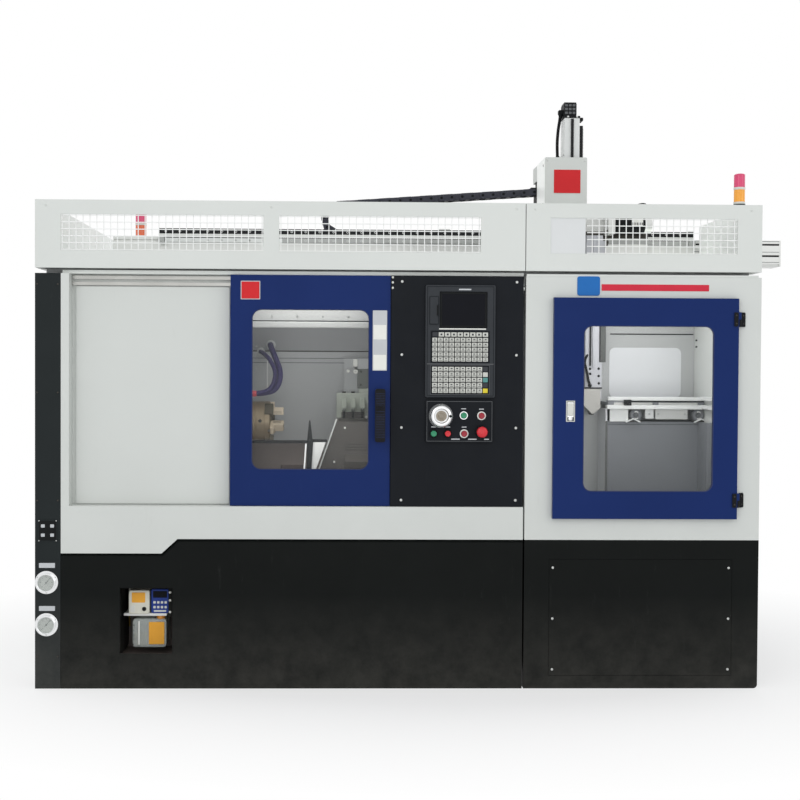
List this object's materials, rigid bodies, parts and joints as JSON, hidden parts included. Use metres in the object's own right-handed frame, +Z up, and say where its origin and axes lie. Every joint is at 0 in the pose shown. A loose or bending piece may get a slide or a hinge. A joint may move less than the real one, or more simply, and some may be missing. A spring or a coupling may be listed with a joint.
{
  "type": "cnc turning lathe",
  "caption": "Enclosed slant-bed turning lathe with sliding door, operator panel, workpiece stocker and an overhead gantry loader behind wire-mesh guards.",
  "frame": {"origin": "middle of the machine's bounding footprint on the floor", "axes": "+X to the operator's right along the machine, +Y from the front covers to the back, +Z up"},
  "size_m": [3.04, 1.545, 2.32],
  "materials": {
    "white_paint": "satin",
    "blue_paint": "satin",
    "black_paint": "fine texture",
    "grey_paint": "satin",
    "steel": "turned",
    "cast_grey": "painted casting",
    "clear_pane": "clear",
    "red_plastic": "gloss",
    "green_plastic": "gloss",
    "chrome": "polished",
    "black_plastic": "matte",
    "white_wire": "gloss",
    "pale_plastic": "frosted",
    "grey_plastic": "matte",
    "ivory_plastic": "gloss",
    "purple_rubber": "matte",
    "black_rubber": "matte",
    "pale_aluminium": "anodised"
  },
  "bodies": {
    "machine": {"left_base_cover": "black_paint", "bed_casting": "cast_grey", "right_base_cover": "black_paint", "base_access_panel": "black_paint", "left_column_cover": "black_paint", "gauge_cases": "chrome", "lathe_front_cover": "white_paint", "fixed_front_panel": "white_paint", "door_rails": "steel", "end_and_rear_covers": "white_paint", "chamber_walls": "grey_paint", "roof_panels": "white_paint", "stocker_front_cover": "white_paint", "neck_rails": "grey_paint", "guard_fronts": "white_paint", "guard_ends": "white_paint", "guard_mesh": "white_wire", "guard_pale_plate": "pale_plastic", "signal_towers": "red_plastic", "operator_console": "black_paint", "control_unit": "grey_plastic", "stocker_hinge_bases": "black_paint", "headstock": "cast_grey", "coolant_hose": "purple_rubber", "lubricator_pump": "ivory_plastic", "lubricator_reservoir": "clear_pane", "stocker_table": "grey_paint", "gantry_beam": "pale_aluminium", "drag_chain": "black_plastic"},
    "sliding_door": {"lathe_door_frame": "blue_paint", "lathe_door_window": "clear_pane", "lathe_door_handle": "black_plastic"},
    "stocker_door": {"stocker_door_frame": "blue_paint", "stocker_door_window": "clear_pane"},
    "latch": {"latch_paddle": "chrome"},
    "card_flap": {"card_slot_cover": "black_plastic"},
    "cycle_start": {"cycle_start_button": "green_plastic"},
    "feed_hold": {"feed_hold_button": "red_plastic"},
    "power_on": {"power_on_button": "green_plastic"},
    "power_off": {"power_off_button": "red_plastic"},
    "reset": {"reset_button": "red_plastic"},
    "stop_mushroom": {"emergency_stop": "red_plastic"},
    "pulse_wheel": {"handwheel": "chrome"},
    "spindle": {"chuck_body": "steel"},
    "jaw_1": {"chuck_jaw_1": "steel"},
    "jaw_2": {"chuck_jaw_2": "steel"},
    "jaw_3": {"chuck_jaw_3": "steel"},
    "saddle_body": {"saddle": "cast_grey"},
    "tool_slide": {"cross_slide": "grey_paint", "tool_holders": "steel"},
    "carriage": {"gantry_carriage": "black_paint", "loader_cover": "white_paint", "arm_cable": "black_rubber"},
    "arm_upper": {"upper_arm": "pale_aluminium"},
    "arm_lower": {"lower_arm": "pale_aluminium"},
    "swivel_head": {"gripper_head": "grey_paint"},
    "finger_front": {"front_gripper_finger": "steel"},
    "finger_rear": {"rear_gripper_finger": "steel"},
    "needle_upper": {"upper_gauge_needle": "black_plastic"},
    "needle_lower": {"lower_gauge_needle": "black_plastic"}
  },
  "joints": [
    {"name": "door_slide", "type": "slide", "parent": "machine", "child": "sliding_door", "axis": [-1, 0, 0], "range_m": [0, 0.58]},
    {"name": "stocker_door_hinge", "type": "hinge", "parent": "machine", "child": "stocker_door", "pos_m": [1.0955, -0.7395, 1.05], "axis": [0, 0, 1], "range_deg": [0, 110]},
    {"name": "latch_lift", "type": "hinge", "parent": "stocker_door", "child": "latch", "pos_m": [0.4625, -0.7455, 1.069], "axis": [-1, 0, 0], "range_deg": [0, 35], "stiffness_Nm_per_rad": 0.4},
    {"name": "card_flap_hinge", "type": "hinge", "parent": "machine", "child": "card_flap", "pos_m": [-0.0611, -0.7356, 1.4115], "axis": [0, 0, -1], "range_deg": [0, 100]},
    {"name": "cycle_start_press", "type": "slide", "parent": "machine", "child": "cycle_start", "axis": [0, 1, 0], "range_m": [0, 0.004], "stiffness_N_per_m": 800},
    {"name": "feed_hold_press", "type": "slide", "parent": "machine", "child": "feed_hold", "axis": [0, 1, 0], "range_m": [0, 0.004], "stiffness_N_per_m": 800},
    {"name": "power_on_press", "type": "slide", "parent": "machine", "child": "power_on", "axis": [0, 1, 0], "range_m": [0, 0.004], "stiffness_N_per_m": 800},
    {"name": "power_off_press", "type": "slide", "parent": "machine", "child": "power_off", "axis": [0, 1, 0], "range_m": [0, 0.004], "stiffness_N_per_m": 800},
    {"name": "reset_press", "type": "slide", "parent": "machine", "child": "reset", "axis": [0, 1, 0], "range_m": [0, 0.004], "stiffness_N_per_m": 800},
    {"name": "emergency_press", "type": "slide", "parent": "machine", "child": "stop_mushroom", "axis": [0, 1, 0], "range_m": [0, 0.006], "stiffness_N_per_m": 1500},
    {"name": "handwheel_turn", "type": "hinge", "parent": "machine", "child": "pulse_wheel", "pos_m": [-0.018, -0.7475, 1.02], "axis": [0, 1, 0], "continuous": true},
    {"name": "spindle_turn", "type": "hinge", "parent": "machine", "child": "spindle", "pos_m": [-0.72, -0.0875, 0.97], "axis": [1, 0, 0], "continuous": true},
    {"name": "jaw_1_slide", "type": "slide", "parent": "spindle", "child": "jaw_1", "axis": [0, 0, 1], "range_m": [-0.004, 0.003]},
    {"name": "jaw_2_slide", "type": "slide", "parent": "spindle", "child": "jaw_2", "axis": [0, -0.866, -0.5], "range_m": [-0.004, 0.003]},
    {"name": "jaw_3_slide", "type": "slide", "parent": "spindle", "child": "jaw_3", "axis": [0, 0.866, -0.5], "range_m": [-0.004, 0.003]},
    {"name": "saddle_travel", "type": "slide", "parent": "machine", "child": "saddle_body", "axis": [-1, 0, 0], "range_m": [0, 0.15]},
    {"name": "cross_travel", "type": "slide", "parent": "saddle_body", "child": "tool_slide", "axis": [0, -0.866, -0.5], "range_m": [0, 0.1]},
    {"name": "carriage_travel", "type": "slide", "parent": "machine", "child": "carriage", "axis": [1, 0, 0], "range_m": [-1.2, 0.012], "deforming": ["drag_chain"]},
    {"name": "upper_arm_lift", "type": "slide", "parent": "carriage", "child": "arm_upper", "axis": [0, 0, 1], "range_m": [0, 0.28], "deforming": ["arm_cable"]},
    {"name": "lower_arm_lift", "type": "slide", "parent": "arm_upper", "child": "arm_lower", "axis": [0, 0, 1], "range_m": [0, 0.28]},
    {"name": "gripper_swivel", "type": "hinge", "parent": "arm_lower", "child": "swivel_head", "pos_m": [0.681, -0.0825, 1.085], "axis": [0, 1, 0], "range_deg": [0, 90]},
    {"name": "front_finger_slide", "type": "slide", "parent": "swivel_head", "child": "finger_front", "axis": [0, -1, 0], "range_m": [0, 0.006]},
    {"name": "rear_finger_slide", "type": "slide", "parent": "swivel_head", "child": "finger_rear", "axis": [0, 1, 0], "range_m": [0, 0.006]},
    {"name": "upper_needle_turn", "type": "hinge", "parent": "machine", "child": "needle_upper", "pos_m": [-1.477, -0.7345, 0.396], "axis": [0, 1, 0], "range_deg": [-130, 130]},
    {"name": "lower_needle_turn", "type": "hinge", "parent": "machine", "child": "needle_lower", "pos_m": [-1.477, -0.7345, 0.239], "axis": [0, 1, 0], "range_deg": [-130, 130]}
  ],
  "couplings": [
    {"joint": "jaw_2_slide", "follows": "jaw_1_slide", "ratio": 1},
    {"joint": "jaw_3_slide", "follows": "jaw_1_slide", "ratio": 1},
    {"joint": "lower_arm_lift", "follows": "upper_arm_lift", "ratio": 1},
    {"joint": "rear_finger_slide", "follows": "front_finger_slide", "ratio": 1}
  ]
}
